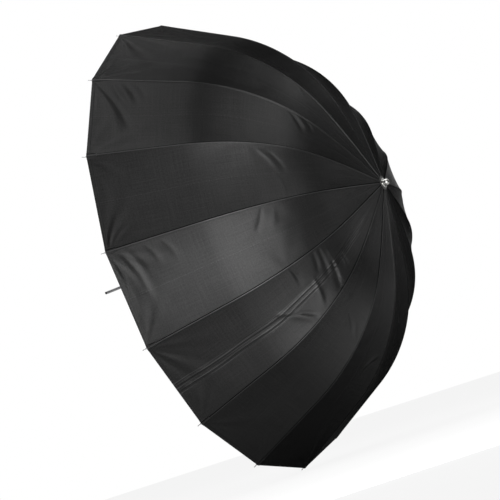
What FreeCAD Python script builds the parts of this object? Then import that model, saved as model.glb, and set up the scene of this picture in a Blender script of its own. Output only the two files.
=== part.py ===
"""Umbrella reflector: a deep sixteen-rib photographic umbrella, open, on a slim tube shaft.

Millimetres and degrees. The shaft lies along X, with the crown towards +X and the open
mouth of the bowl towards -X. +Z is up. The origin is on the shaft's axis, where a stand's
bracket grips it. Rib 01 points straight up, and the others follow round the +X axis.
"""
import FreeCAD
import Part
import math
import os
import Sketcher
from FreeCAD import Placement, Rotation, Vector

# Driving sizes, one sheet cell each.
SIZES = {
    # shaft
    "shaft_radius": 4.0,
    "shaft_wall": 1.0,
    "shaft_tail": 185.0,
    "shaft_nose": 19.0,
    "crimp_at": 330.0,
    "crimp_width": 2.0,
    "crimp_depth": 0.3,
    "plug_cap": 7.0,
    "plug_cap_radius": 3.7,
    "plug_stem": 12.0,
    "rivet_head_radius": 1.65,
    "rivet_head": 0.6,
    # crown, and the runner whose notched head matches it
    "crown_at": 729.0,
    "arm_count": 16.0,
    "pivot_circle": 14.0,
    "head_radius": 18.5,
    "head_front": 5.5,
    "head_back": 4.4,
    "slot_width": 2.6,
    "slot_floor": 10.4,
    "slot_stop": 3.4,
    "wire_radius": 0.8,
    "running_gap": 0.05,
    "crown_neck_radius": 7.5,
    "crown_neck": 10.0,
    "runner_sleeve_radius": 8.5,
    "runner_sleeve": 40.6,
    "runner_lip_radius": 11.0,
    "runner_lip": 4.0,
    "pin_radius": 1.0,
    "stop_gap": 0.7,
    "stop_pin_reach": 7.0,
    # ribs: two arcs and a straight end, bent towards the mouth of the bowl
    "rib_lean": 8.0,
    "crown_bend_radius": 1655.0,
    "crown_bend": 8.0,
    "bowl_bend_radius": 497.0,
    "bowl_bend": 44.0,
    "rib_straight": 233.0,
    "rod_radius": 1.75,
    "clip_turn": 25.0,
    "clip_drop": 5.0,
    "clip_length": 12.0,
    "clip_wall": 0.6,
    "ear_width": 1.6,
    "ear_radius": 2.0,
    "eye_radius": 3.0,
    "tongue_width": 2.4,
    "tongue_half": 2.8,
    "socket_start": 8.0,
    "socket_end": 30.0,
    "socket_radius": 2.5,
    "socket_trim_radius": 3.2,
    "tip_sleeve": 12.0,
    "tip_shoulder": 1.5,
    "tip_wall": 0.45,
    "tip_pin": 10.0,
    "tip_pin_radius": 1.1,
    # stretchers: pressed channels
    "channel_width": 4.0,
    "channel_height": 3.6,
    "channel_wall": 0.6,
    "channel_start": 12.0,
    "channel_nose": 6.0,
    "fork_length": 9.0,
    # runner catch
    "catch_reach": 35.0,
    "catch_width": 2.4,
    "catch_low": 1.3,
    "catch_high": 2.6,
    "catch_top": 7.0,
    "catch_edge": 1.0,
    "catch_ramp": 10.0,
    "catch_gap": 1.0,
    "catch_boss_wall": 0.7,
    "catch_slot_reach": 15.0,
    "catch_slot_room": 0.4,
    "catch_pin_up": 0.6,
    "catch_pin_reach": 3.6,
    # canopy
    "cloth_thickness": 0.5,
    "cloth_lift": 3.0,
    "crown_lift": 2.8,
    "crown_lift_reach": 45.0,
    "cloth_start": -4.0,
    "seam_gap": 0.2,
    "sag_share": 0.1,
    # crown dressing
    "washer_radius": 15.5,
    "washer_back": 7.2,
    "washer_thickness": 1.4,
    "finial_flange_radius": 13.0,
    "finial_flange": 2.2,
    "finial_radius": 8.8,
    "finial_dome": 10.0,
    "finial_dome_lift": 3.5,
}

doc = FreeCAD.newDocument("umbrella_reflector")
sheet = doc.addObject("Spreadsheet::Sheet", "Sizes")
for row, (word, number) in enumerate(SIZES.items(), start=1):
    sheet.set(f"A{row}", word)
    sheet.set(f"B{row}", str(number))
    sheet.setAlias(f"B{row}", word)
doc.recompute()


class Size:
    """A length or angle that knows both its number and its formula in the sheet."""

    def __init__(self, number, formula):
        self.number = number
        self.formula = formula

    def __add__(self, other):
        return Size(self.number + number_of(other), f"({self.formula} + {formula_of(other)})")

    def __sub__(self, other):
        return Size(self.number - number_of(other), f"({self.formula} - {formula_of(other)})")

    def __mul__(self, other):
        return Size(self.number * number_of(other), f"({self.formula} * {formula_of(other)})")

    def __truediv__(self, other):
        return Size(self.number / number_of(other), f"({self.formula} / {formula_of(other)})")

    def __neg__(self):
        return Size(-self.number, f"(-1 * {self.formula})")


def number_of(size):
    return size.number if isinstance(size, Size) else float(size)


def formula_of(size):
    return size.formula if isinstance(size, Size) else str(float(size))


def of(word):
    """The sheet's size of that name."""
    return Size(float(sheet.get(word)), f"Sizes.{word}")


def as_size(size):
    return size if isinstance(size, Size) else Size(float(size), str(float(size)))


def bind(thing, **sizes):
    """Binds properties to formulas. Base_x stands for Placement.Base.x."""
    for name, size in sizes.items():
        path = name.replace("Base_", "Placement.Base.")
        thing.setExpression(path, formula_of(size))


# Primitives and booleans.

ALONG_X = Placement(Vector(), Rotation(Vector(0, 1, 0), 90))
ALONG_Y = Placement(Vector(), Rotation(Vector(1, 0, 0), -90))


def cylinder(name, radius, length, place):
    """A cylinder that runs along the Z axis of that placement."""
    thing = doc.addObject("Part::Cylinder", name)
    thing.Placement = place
    bind(thing, Radius=radius, Height=length)
    return thing


def bar(name, radius, start, length):
    """A cylinder on the X axis, from start."""
    thing = cylinder(name, radius, length, ALONG_X)
    bind(thing, Base_x=start)
    return thing


def side_bar(name, radius, start, length, at):
    """A cylinder along Y, from start, at that (x, z)."""
    thing = cylinder(name, radius, length, ALONG_Y)
    bind(thing, Base_x=at[0], Base_y=start, Base_z=at[1])
    return thing


def cross_bar(name, radius, width, at=(0, 0)):
    """A cylinder along Y, centred on the XZ plane."""
    return side_bar(name, radius, as_size(width) * -0.5, width, at)


def block(name, x_span, width, z_span):
    """A box over x_span and z_span, centred across Y."""
    thing = doc.addObject("Part::Box", name)
    low_x, high_x = (as_size(end) for end in x_span)
    low_z, high_z = (as_size(end) for end in z_span)
    bind(thing, Length=high_x - low_x, Width=width, Height=high_z - low_z)
    bind(thing, Base_x=low_x, Base_y=width * -0.5, Base_z=low_z)
    return thing


def ball(name, radius, x):
    thing = doc.addObject("Part::Sphere", name)
    bind(thing, Radius=radius, Base_x=x)
    return thing


def fuse(name, *pieces):
    thing = doc.addObject("Part::MultiFuse", name)
    thing.Shapes = list(pieces)
    thing.Label = name
    return thing


def cut(name, base, *tools):
    thing = doc.addObject("Part::Cut", name)
    thing.Base = base
    thing.Tool = tools[0] if len(tools) == 1 else fuse(f"{name}_holes", *tools)
    thing.Label = name
    return thing


def common(name, *pieces):
    thing = doc.addObject("Part::MultiCommon", name)
    thing.Shapes = list(pieces)
    thing.Label = name
    return thing


def group(name, pieces):
    """Separate solids kept as one object."""
    thing = doc.addObject("Part::Compound", name)
    thing.Links = pieces
    thing.Label = name
    return thing


# Sketched bodies.


def new_body(label):
    body = doc.addObject("PartDesign::Body", label)
    body.Label = label
    return body


def origin_piece(body, role):
    return next(piece for piece in body.Origin.OriginFeatures if piece.Role == role)


def outline(body, name, corners):
    """A closed sketch on the body's XZ plane, its corners (x, z) bound to the sheet."""
    drawn = body.newObject("Sketcher::SketchObject", name)
    drawn.AttachmentSupport = [(origin_piece(body, "XZ_Plane"), "")]
    drawn.MapMode = "FlatFace"
    spots = [Vector(number_of(x), number_of(z), 0) for x, z in corners]
    for here, there in zip(spots, spots[1:] + spots[:1]):
        drawn.addGeometry(Part.LineSegment(here, there), False)
    for line in range(len(spots)):
        following = (line + 1) % len(spots)
        drawn.addConstraint(Sketcher.Constraint("Coincident", line, 2, following, 1))
    for line, corner in enumerate(corners):
        for way, size in zip(("DistanceX", "DistanceY"), corner):
            rule = Sketcher.Constraint(way, -1, 1, line, 1, number_of(size))
            index = drawn.addConstraint(rule)
            drawn.setExpression(f"Constraints[{index}]", formula_of(size))
    return drawn


def turned(body, name, corners, kind="PartDesign::Revolution"):
    """Turns an outline round the shaft's axis, to add (Revolution) or remove (Groove)."""
    drawn = outline(body, f"{name}_outline", corners)
    feature = body.newObject(kind, name)
    feature.Profile = drawn
    feature.ReferenceAxis = (drawn, ["H_Axis"])
    feature.Angle = 360
    doc.recompute()


def notches(body, name, corners, width):
    """A ring of radial slots, one to each arm, cut through the head."""
    drawn = outline(body, f"{name}_outline", corners)
    slot = body.newObject("PartDesign::Pocket", name)
    slot.Profile = drawn
    slot.SideType = "Symmetric"
    bind(slot, Length=width)
    doc.recompute()
    ring = body.newObject("PartDesign::PolarPattern", f"{name}_ring")
    ring.Originals = [slot]
    ring.Axis = (origin_piece(body, "X_Axis"), [""])
    ring.Angle = 360
    bind(ring, Occurrences=of("arm_count"))
    body.Tip = ring
    doc.recompute()


def notched_head(label, bore):
    """A turned disc with a slot for each arm and a groove round it for the tie wire."""
    body = new_body(label)
    front = -of("head_front")
    back = of("head_back")
    edge = of("head_radius")
    turned(body, f"{label}_disc", [(front, bore), (front, edge), (back, edge), (back, bore)])
    reach = of("wire_radius") + of("running_gap")
    floor = of("pivot_circle") - reach
    groove = [(-reach, floor), (-reach, edge + 1), (reach, edge + 1), (reach, floor)]
    turned(body, f"{label}_wire_groove", groove, "PartDesign::Groove")
    stop = of("slot_stop")
    floor = of("slot_floor")
    slot = [(front - 1, floor), (front - 1, edge + 1), (stop, edge + 1), (stop, floor)]
    notches(body, f"{label}_slot", slot, of("slot_width"))
    return body


# Where things are: plain numbers worked out from the sheet.

ARMS = int(of("arm_count").number)
STEP = 360.0 / ARMS


def meridian_at(distance):
    """Place along a rib's centreline in its own plane: (x, r) from the pivot, and lean."""
    lean = math.radians(of("rib_lean").number)
    x = 0.0
    r = 0.0
    bends = (("crown_bend_radius", "crown_bend"), ("bowl_bend_radius", "bowl_bend"))
    if distance < 0:
        return -distance * math.sin(lean), distance * math.cos(lean), lean
    for radius_word, bend_word in bends:
        radius = of(radius_word).number
        whole = radius * math.radians(of(bend_word).number)
        turn = min(distance, whole) / radius
        x += radius * (math.cos(lean + turn) - math.cos(lean))
        r += radius * (math.sin(lean + turn) - math.sin(lean))
        lean += turn
        distance -= whole
        if distance <= 0:
            return x, r, lean
    return x - distance * math.sin(lean), r + distance * math.cos(lean), lean


def arc_length(radius_word, bend_word):
    return of(radius_word).number * math.radians(of(bend_word).number)


CROWN_ARC = arc_length("crown_bend_radius", "crown_bend")
BOWL_ARC = arc_length("bowl_bend_radius", "bowl_bend")
ROD_LENGTH = CROWN_ARC + BOWL_ARC + of("rib_straight").number
CLIP_AT = CROWN_ARC + arc_length("bowl_bend_radius", "clip_turn")


def rib_frame(distance):
    """Placement on the top rib: local X along the rib, local Z out of the bowl."""
    x, r, lean = meridian_at(distance)
    place = Vector(of("crown_at").number + x, 0, of("pivot_circle").number + r)
    forward = Vector(-math.sin(lean), 0, math.cos(lean))
    outward = Vector(math.cos(lean), 0, math.sin(lean))
    return Placement(place, Rotation(forward, outward.cross(forward), outward, "XYZ"))


CLIP_PIVOT = rib_frame(CLIP_AT).multVec(Vector(0, 0, -of("clip_drop").number))
CROWN_PIVOT = Vector(of("crown_at").number, 0, of("pivot_circle").number)
ARM_LENGTH = (CLIP_PIVOT - CROWN_PIVOT).Length
# The stretcher is as long as the crown pivot is from the clip pivot, so the runner's
# pivots stay on the same circle as the crown's while the umbrella folds.
RUNNER_AT = 2 * CLIP_PIVOT.x - CROWN_PIVOT.x


def ring_place(index, half_steps=0):
    """Placement of arm number index, counted from 0 at the top, round the shaft."""
    return Placement(Vector(), Rotation(Vector(1, 0, 0), STEP * (index + half_steps / 2)))


def ring_copy(label, index, pieces, half_steps=0):
    """One arm of the ring: the pattern pieces in one placed object."""
    thing = group(label, pieces)
    thing.Placement = ring_place(index, half_steps)
    return thing


# Shaft and what is fixed to it.


def make_crimp():
    """The ring rolled into the tube where the smooth stretch for the bracket ends."""
    around = bar("crimp_outside", of("shaft_radius") + 1, of("crimp_at"), of("crimp_width"))
    left = of("shaft_radius") - of("crimp_depth")
    inside = bar("crimp_inside", left, of("crimp_at"), of("crimp_width"))
    return cut("crimp_ring", around, inside)


def make_shaft():
    """A tube with cross holes for the rivet, the stop pin and the catch, and its slot."""
    tail = -of("shaft_tail")
    length = of("shaft_tail") + of("crown_at") + of("shaft_nose")
    tube = bar("shaft_outside", of("shaft_radius"), tail, length)
    bore = bar("shaft_bore", of("shaft_radius") - of("shaft_wall"), tail, length)
    holes = [
        cross_bar(f"{name}_hole", of("pin_radius"), of("shaft_radius") * 3, (x, z))
        for name, x, z in (
            ("crown_rivet", CROWN_RIVET_AT, 0),
            ("stop_pin", STOP_PIN_AT, 0),
            ("catch_pin", CATCH_PIN_AT, of("catch_pin_up")),
        )
    ]
    slot_end = of("catch_reach") + CATCH_PIN_AT + 2
    slot_span = (slot_end - of("catch_slot_reach"), slot_end)
    slot_width = of("catch_width") + of("catch_slot_room")
    slot = block("catch_slot", slot_span, slot_width, (1, of("shaft_radius") + 1))
    return cut("shaft", tube, bore, *holes, slot, make_crimp())


def make_end_plug():
    """A rounded plug pressed into the shaft's free end, a little slimmer than the shaft."""
    end = -of("shaft_tail")
    cap_length = of("plug_cap") + 1
    cap = bar("plug_cap_bar", of("plug_cap_radius"), end - cap_length, cap_length)
    dome = ball("plug_dome", of("plug_cap"), end)
    rounded = common("plug_rounded", cap, dome)
    stem_radius = of("shaft_radius") - of("shaft_wall")
    stem = bar("plug_stem_bar", stem_radius, end, of("plug_stem"))
    return fuse("shaft_end_plug", rounded, stem)


def make_crown():
    """The fixed notched head, and the neck behind it that is riveted to the shaft."""
    head = notched_head("crown_head", of("shaft_radius"))
    head.Placement = Placement(Vector(of("crown_at").number, 0, 0), Rotation())
    end = of("crown_at") - of("head_front")
    length = of("crown_neck")
    solid = bar("neck_outside", of("crown_neck_radius"), end - length, length)
    bore = bar("neck_bore", of("shaft_radius"), end - length, length)
    hole = cross_bar("neck_hole", of("pin_radius"), of("head_radius"), (CROWN_RIVET_AT, 0))
    return group("crown", [head, cut("crown_neck", solid, bore, hole)])


def make_runner():
    """The sliding head, turned to face the crown's, and its sleeve with a lip to hold."""
    bore = of("shaft_radius") + of("running_gap")
    head = notched_head("runner_head", bore)
    head.Placement = Placement(Vector(RUNNER_AT, 0, 0), Rotation(Vector(0, 0, 1), 180))
    length = of("runner_sleeve")
    tube = bar("sleeve_outside", of("runner_sleeve_radius"), RUNNER_END, length)
    lip = bar("sleeve_lip", of("runner_lip_radius"), RUNNER_END, of("runner_lip"))
    hole = bar("sleeve_bore", bore, RUNNER_END, length)
    return group("runner", [head, cut("runner_sleeve", fuse("sleeve_solid", tube, lip), hole)])


def make_tie_wire(label, x):
    """A wire bent to a sixteen-sided ring, one straight side through each arm's eye."""
    thing = doc.addObject("Part::Feature", label)
    half = math.radians(STEP / 2)
    corner_radius = of("pivot_circle").number / math.cos(half)
    corners = []
    for index in range(ARMS + 1):
        angle = math.radians(STEP) * index + half
        spot = Vector(0, -corner_radius * math.sin(angle), corner_radius * math.cos(angle))
        corners.append(spot)
    end_gap = 0.5
    corners[0] = corners[0] + (corners[1] - corners[0]).normalize() * end_gap
    corners[-1] = corners[-1] + (corners[-2] - corners[-1]).normalize() * end_gap
    path = Part.makePolygon(corners)
    ring = Part.makeCircle(of("wire_radius").number, corners[0], corners[1] - corners[0])
    thing.Shape = path.makePipeShell([Part.Wire(ring)], True, False, 1)
    thing.Placement = Placement(Vector(x, 0, 0), Rotation())
    thing.Label = label
    return thing


def make_pin(label, reach, at):
    """A plain pin across the shaft, at that (x, z), reaching that far each way."""
    pin = cross_bar(label, of("pin_radius"), reach * 2, at)
    pin.Label = label
    return pin


def make_rivet(label, reach, at):
    """A pin across the XZ plane with a low head at each end."""
    shank = cross_bar(f"{label}_shank", of("pin_radius"), reach * 2, at)
    height = of("rivet_head")
    heads = [
        side_bar(f"{label}_head_{side}", of("rivet_head_radius"), start, height, at)
        for side, start in (("left", -reach - height), ("right", reach))
    ]
    return fuse(label, shank, *heads)


def make_canopy_washer():
    x = of("crown_at") + of("washer_back")
    disc = bar("washer_disc", of("washer_radius"), x, of("washer_thickness"))
    hole = bar("washer_hole", of("shaft_radius"), x, of("washer_thickness"))
    return cut("canopy_washer", disc, hole)


def make_finial():
    """A flanged cap nut with a domed end, screwed on the shaft outside the canopy."""
    seat = of("crown_at") + of("washer_back") + of("washer_thickness")
    flange = bar("finial_flange_disc", of("finial_flange_radius"), seat, of("finial_flange"))
    barrel = bar("finial_barrel", of("finial_radius"), seat, of("finial_dome") * 2)
    dome = ball("finial_dome_ball", of("finial_dome"), seat + of("finial_dome_lift"))
    cap = common("finial_cap", barrel, dome)
    depth = of("crown_at") + of("shaft_nose") - seat
    bore = bar("finial_bore", of("shaft_radius"), seat, depth)
    return cut("finial", fuse("finial_solid", flange, cap), bore)


CROWN_RIVET_AT = of("crown_at").number - of("head_front").number - of("crown_neck").number / 2
STOP_PIN_AT = RUNNER_AT + (of("head_front") + of("pin_radius") + of("stop_gap")).number
RUNNER_END = RUNNER_AT - (of("head_back") + of("runner_sleeve")).number
CATCH_PIN_AT = RUNNER_END - (of("catch_gap") + of("catch_reach")).number


def make_runner_catch():
    """A sprung leaf in the tube: its tooth stands out of the slot behind the runner."""
    body = new_body("catch_leaf")
    top = of("catch_high") - of("catch_pin_up")
    bottom = of("catch_low") - of("catch_pin_up")
    tooth = of("catch_top") - of("catch_pin_up")
    reach = of("catch_reach")
    corners = [
        (0, bottom),
        (reach, bottom),
        (reach, tooth),
        (reach - of("catch_edge"), tooth),
        (reach - of("catch_ramp"), top),
        (0, top),
    ]
    drawn = outline(body, "catch_outline", corners)
    pad = body.newObject("PartDesign::Pad", "catch_pad")
    pad.Profile = drawn
    pad.SideType = "Symmetric"
    bind(pad, Length=of("catch_width"))
    boss_radius = of("pin_radius") + of("catch_boss_wall")
    boss = cross_bar("catch_boss", boss_radius, of("catch_width"))
    hole_radius = of("pin_radius") + of("running_gap")
    hole = cross_bar("catch_eye", hole_radius, of("catch_width") * 2)
    catch = cut("runner_catch", fuse("catch_solid", body, boss), hole)
    catch.Placement = Placement(Vector(CATCH_PIN_AT, 0, of("catch_pin_up").number), Rotation())
    return catch


# Rib: a bent rod with a pivot socket, a stretcher clip and a tip fixed on it.


def bent_rod(name, start, radius_word, turn):
    """A bent stretch of rod that starts that far along the rib and turns by turn."""
    thing = doc.addObject("Part::Torus", name)
    bind(thing, Radius1=of(radius_word), Radius2=of("rod_radius"), Angle3=turn)
    place = rib_frame(start)
    forward = place.Rotation.multVec(Vector(1, 0, 0))
    outward = place.Rotation.multVec(Vector(0, 0, 1))
    centre = place.Base - outward * of(radius_word).number
    turned_to = Rotation(outward, forward, outward.cross(forward), "XYZ")
    thing.Placement = Placement(centre, turned_to)
    return thing


def make_rib_rod():
    """A round glass-fibre rod from inside the socket to the tip."""
    inset = of("socket_start").number
    inset_turn = math.degrees(inset / of("crown_bend_radius").number)
    first_turn = of("crown_bend") - inset_turn
    first = bent_rod("rod_crown_bend", inset, "crown_bend_radius", first_turn)
    second = bent_rod("rod_bowl_bend", CROWN_ARC, "bowl_bend_radius", of("bowl_bend"))
    end_place = rib_frame(CROWN_ARC + BOWL_ARC).multiply(ALONG_X)
    end = cylinder("rod_end", of("rod_radius"), of("rib_straight"), end_place)
    return fuse("rib_rod", first, second, end)


def make_rib_socket():
    """The metal socket on the rod's inner end, with a flat tongue and an eye."""
    half = of("tongue_half")
    start = of("socket_start")
    length = of("socket_end") - start
    sleeve = bar("socket_sleeve", of("socket_radius"), start, length)
    tongue = block("socket_tongue", (0, start + 2), of("tongue_width"), (-half, half))
    eye = cross_bar("socket_eye", of("eye_radius"), of("tongue_width"))
    solid = common("socket_trim", fuse("socket_solid", sleeve, tongue, eye), socket_limit())
    wire_hole = of("wire_radius") + of("running_gap")
    hole = cross_bar("socket_eye_hole", wire_hole, of("tongue_width") * 2)
    socket = cut("rib_socket", solid, hole)
    socket.Placement = rib_frame(0)
    return socket


def socket_limit():
    """A round bar that takes the tongue's corners down to the sleeve's outline."""
    reach = of("eye_radius") * 2
    length = reach + of("socket_end")
    return bar("socket_limit_bar", of("socket_trim_radius"), -reach, length)


def make_rib_clip():
    """A short sleeve crimped on the rod, with an ear that the stretcher's fork holds."""
    length = of("clip_length")
    at = (0, -of("clip_drop"))
    sleeve_radius = of("rod_radius") + of("clip_wall")
    sleeve = bar("clip_sleeve", sleeve_radius, length * -0.5, length)
    ear_span = (-of("ear_radius"), of("ear_radius"))
    ear = block("clip_ear", ear_span, of("ear_width"), (-of("clip_drop"), 0))
    eye = cross_bar("clip_eye", of("ear_radius"), of("ear_width"), at)
    hole_radius = of("pin_radius") + of("running_gap")
    hole = cross_bar("clip_hole", hole_radius, of("ear_width") * 2, at)
    clip = cut("rib_clip", fuse("clip_solid", sleeve, ear, eye), hole)
    clip.Placement = rib_frame(CLIP_AT)
    return clip


def make_rib_tip():
    """The metal tip that the canopy's corner is sewn to: a sleeve and a bare pin."""
    length = of("tip_sleeve") + of("tip_shoulder")
    sleeve_radius = of("rod_radius") + of("tip_wall")
    sleeve = bar("tip_sleeve_bar", sleeve_radius, -of("tip_sleeve"), length)
    pin = bar("tip_pin_bar", of("tip_pin_radius"), 0, of("tip_pin"))
    point = ball("tip_point", of("tip_pin_radius"), of("tip_pin"))
    tip = fuse("rib_tip", sleeve, pin, point)
    tip.Placement = rib_frame(ROD_LENGTH)
    return tip


# Stretcher: pressed channel with a tongue at the runner and a riveted fork at the clip.


def stretcher_frame():
    """Local X from the runner's pivot to the rib clip's pivot, local Z out of the bowl."""
    start = Vector(RUNNER_AT, 0, of("pivot_circle").number)
    forward = (CLIP_PIVOT - start).normalize()
    outward = Vector(0, -1, 0).cross(forward) * -1
    return Placement(start, Rotation(forward, outward.cross(forward), outward, "XYZ"))


def make_stretcher_arm():
    arm = as_size(ARM_LENGTH)
    half = of("channel_height") / 2
    past = arm + of("channel_height")
    inside = of("channel_width") - of("channel_wall") * 2
    start = of("channel_start")
    channel = block("channel_outside", (start, arm), of("channel_width"), (-half, half))
    nose = cross_bar("fork_nose", half, of("channel_width"), (arm, 0))
    shell = fuse("channel_solid", channel, nose)
    web = half - of("channel_wall")
    trough_span = (start + of("channel_nose"), past)
    trough = block("channel_trough", trough_span, inside, (-half - 1, web))
    gap_span = (arm - of("fork_length"), past)
    gap = block("fork_gap", gap_span, inside, (-half - 1, half + 1))
    rivet_hole = cross_bar("fork_hole", of("pin_radius"), of("channel_width") * 2, (arm, 0))
    channel_cut = cut("channel", shell, trough, gap, rivet_hole)
    tongue = block("arm_tongue", (0, start + 1), of("tongue_width"), (-half, half))
    eye = cross_bar("arm_eye", of("eye_radius"), of("tongue_width"))
    wire_hole = of("wire_radius") + of("running_gap")
    hole = cross_bar("arm_eye_hole", wire_hole, of("tongue_width") * 2)
    solid = cut("stretcher_arm", fuse("arm_solid", channel_cut, tongue, eye), hole)
    solid.Placement = stretcher_frame()
    return solid


def make_stretcher_rivet():
    """The rivet through the fork's cheeks and the clip's ear."""
    rivet = make_rivet("stretcher_rivet", of("channel_width") / 2, (ARM_LENGTH, 0))
    rivet.Placement = stretcher_frame()
    return rivet


# Canopy: sixteen panels of cloth, each stretched between two ribs.


def gore_section(distance):
    """The panel's outline across its middle line: two shallow curves a cloth apart.

    The edges run over the two ribs, just clear of them, and the middle is drawn in
    towards the bowl by a share of the half width.
    """
    half_step = math.radians(STEP / 2)
    x, r, lean = meridian_at(distance)
    fade = math.exp(-((distance / of("crown_lift_reach").number) ** 2))
    lift = of("cloth_lift").number + of("crown_lift").number * fade
    edge_x = of("crown_at").number + x + lift * math.cos(lean)
    edge_r = of("pivot_circle").number + r + lift * math.sin(lean)
    half_width = edge_r * math.sin(half_step) - of("seam_gap").number
    along = max(distance, 0) / ROD_LENGTH
    sag = of("sag_share").number * half_width * math.sin(math.pi * along)
    middle = Vector(edge_x, 0, edge_r * math.cos(half_step))
    outward = Vector(math.cos(lean) * math.cos(half_step), 0, math.sin(lean)).normalize()
    across = Vector(0, half_width, 0)

    def curve(rise):
        spots = [middle - across, middle - outward * (2 * sag), middle + across]
        bend = Part.BezierCurve()
        bend.setPoles([spot + outward * rise for spot in spots])
        return bend.toShape()

    inner = curve(0)
    outer = curve(of("cloth_thickness").number)
    ends = [(inner.lastVertex().Point, outer.lastVertex().Point)]
    ends.append((outer.firstVertex().Point, inner.firstVertex().Point))
    sides = [Part.LineSegment(*pair).toShape() for pair in ends]
    return Part.Wire([inner, sides[0], outer, sides[1]])


def make_gore():
    """One panel, lofted from the crown to the rim, with its middle line on top."""
    thing = doc.addObject("Part::Feature", "gore")
    steps = 18
    start = of("cloth_start").number
    over_crown = start + of("head_radius").number
    places = [start, over_crown] + [ROD_LENGTH * step / steps for step in range(1, steps + 1)]
    thing.Shape = Part.makeLoft([gore_section(place) for place in places], True, False)
    return thing


# The assembly.

rib = fuse("rib", make_rib_rod(), make_rib_socket(), make_rib_clip(), make_rib_tip())
stretcher_pieces = [make_stretcher_arm(), make_stretcher_rivet()]
gore = make_gore()
sub_parts = [
    make_shaft(),
    make_end_plug(),
    make_crown(),
    make_tie_wire("crown_tie_wire", of("crown_at").number),
    make_rivet("crown_rivet", of("crown_neck_radius"), (CROWN_RIVET_AT, 0)),
    make_canopy_washer(),
    make_finial(),
    make_runner(),
    make_tie_wire("runner_tie_wire", RUNNER_AT),
    make_pin("runner_stop_pin", of("stop_pin_reach"), (STOP_PIN_AT, 0)),
    make_runner_catch(),
    make_pin("catch_pin", of("catch_pin_reach"), (CATCH_PIN_AT, of("catch_pin_up"))),
]
for arm in range(ARMS):
    sub_parts.append(ring_copy(f"rib_{arm + 1:02d}", arm, [rib]))
    sub_parts.append(ring_copy(f"stretcher_{arm + 1:02d}", arm, stretcher_pieces))
    sub_parts.append(ring_copy(f"canopy_gore_{arm + 1:02d}", arm, [gore], 1))
doc.recompute()

# Nothing is written unless every object recomputed and every sub-part is sound.
for thing in doc.Objects:
    if "Invalid" in thing.State or "Error" in thing.State:
        raise RuntimeError(f"{thing.Name} failed: {thing.State}")
os.makedirs("parts", exist_ok=True)
for thing in sub_parts:
    if thing.Shape.isNull() or not thing.Shape.isValid():
        raise RuntimeError(f"{thing.Label} has no valid shape")
    print(f"{thing.Label}: {len(thing.Shape.Solids)} solids, {thing.Shape.Volume:.1f} mm3")
for thing in sub_parts:
    thing.Shape.exportStep(f"parts/{thing.Label}.step")
print(f"runner pivots at x = {RUNNER_AT:.3f}, clip pivot at {CLIP_PIVOT}, arm {ARM_LENGTH:.3f}")
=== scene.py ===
import math

import bpy
import numpy as np
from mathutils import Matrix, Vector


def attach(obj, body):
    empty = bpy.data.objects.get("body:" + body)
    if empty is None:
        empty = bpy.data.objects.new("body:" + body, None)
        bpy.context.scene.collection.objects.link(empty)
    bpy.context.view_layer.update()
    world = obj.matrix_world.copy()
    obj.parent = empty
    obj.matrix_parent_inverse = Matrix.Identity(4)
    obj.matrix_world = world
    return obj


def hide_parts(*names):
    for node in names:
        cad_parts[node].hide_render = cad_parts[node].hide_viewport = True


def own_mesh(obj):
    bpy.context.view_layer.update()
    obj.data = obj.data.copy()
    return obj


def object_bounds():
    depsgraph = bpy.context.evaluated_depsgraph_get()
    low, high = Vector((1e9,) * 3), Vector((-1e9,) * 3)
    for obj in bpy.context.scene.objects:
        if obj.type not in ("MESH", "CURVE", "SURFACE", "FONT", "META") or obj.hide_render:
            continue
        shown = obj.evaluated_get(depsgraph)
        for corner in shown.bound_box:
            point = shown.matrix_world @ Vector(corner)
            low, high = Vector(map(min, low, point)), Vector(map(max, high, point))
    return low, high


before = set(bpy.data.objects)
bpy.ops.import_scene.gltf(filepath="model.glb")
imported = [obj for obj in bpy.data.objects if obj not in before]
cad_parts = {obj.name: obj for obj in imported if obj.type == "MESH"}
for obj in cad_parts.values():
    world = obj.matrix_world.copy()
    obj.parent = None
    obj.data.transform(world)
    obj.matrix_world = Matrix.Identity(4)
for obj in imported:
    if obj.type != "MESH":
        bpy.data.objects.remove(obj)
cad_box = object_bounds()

# Camera: a long lens, low and to the side of the bowl, looking a little up at the black
# outside of the canopy, with the crown to the right and the mouth away to the left.
scene = bpy.context.scene
lens_data = bpy.data.cameras.new("camera")
lens_data.lens = 114.5957
lens_data.sensor_width = 36.0
lens_data.clip_end = 100.0
camera = bpy.data.objects.new("camera", lens_data)
camera.location = (2.26358, -3.91069, -0.55764)
camera.rotation_euler = tuple(math.radians(turn) for turn in (97.136, 17.899, 28.876))
scene.collection.objects.link(camera)
scene.camera = camera

# Shaft: a drawn steel tube with a dull grey finish, with fine lines along its length. The stop
# pin, the catch and the catch's pin go through cross holes in it.


def add_node(tree, kind, **values):
    """Adds a shader node. Values name its properties, or its inputs where in_ stands first."""
    made = tree.nodes.new(kind)
    for word, value in values.items():
        if word.startswith("in_"):
            made.inputs[word[3:].replace("_", " ")].default_value = value
        else:
            setattr(made, word, value)
    return made


def math_node(tree, operation, first, second=None, clamp=False):
    """A Math node on sockets or numbers, and its result."""
    made = add_node(tree, "ShaderNodeMath", operation=operation, use_clamp=clamp)
    for place, value in enumerate((first, second)):
        if isinstance(value, (int, float)):
            made.inputs[place].default_value = value
        elif value is not None:
            tree.links.new(value, made.inputs[place])
    return made.outputs[0]


def mix_colours(tree, share, first, second):
    """Goes from the first colour to the second as share goes from 0 to 1."""
    made = add_node(tree, "ShaderNodeMix", data_type="RGBA")
    tree.links.new(share, made.inputs[0])
    for place, colour in ((6, first), (7, second)):
        if isinstance(colour, tuple):
            made.inputs[place].default_value = (*colour, 1.0)
        else:
            tree.links.new(colour, made.inputs[place])
    return made.outputs[2]


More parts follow.
